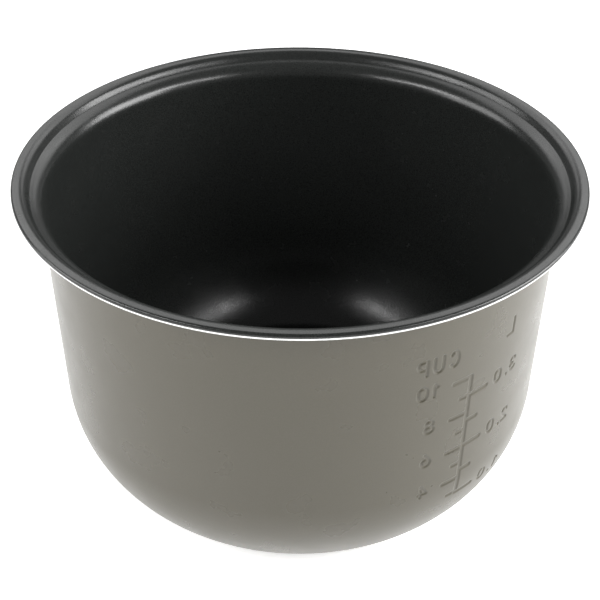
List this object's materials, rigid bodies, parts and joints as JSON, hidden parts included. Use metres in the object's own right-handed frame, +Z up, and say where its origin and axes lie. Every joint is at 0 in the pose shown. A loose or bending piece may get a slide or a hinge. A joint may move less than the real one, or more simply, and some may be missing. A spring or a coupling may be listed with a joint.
{
  "type": "rice cooker inner pot",
  "caption": "Removable inner cooking pot of a rice cooker: a coated aluminium bowl with a stepped flange that hangs it in the cooker, and a pressed measuring scale in cups and litres.",
  "frame": {"origin": "centre of the pot's base, in the plane of the ring that it rests on", "axes": "+Z up along the pot's axis, out of its mouth; +X to the right and -Y to the front, with the measuring scale at the front right, 51 degrees from +X towards -Y"},
  "size_m": [0.2456, 0.2456, 0.1482],
  "materials": {
    "bare_aluminium": "turned, bright",
    "nonstick_black": "satin non-stick coat",
    "outer_grey": "satin warm grey metallic coat"
  },
  "bodies": {
    "root": {"pot_shell": "bare_aluminium", "nonstick_lining": "nonstick_black", "outer_coating": "outer_grey"}
  },
  "joints": []
}
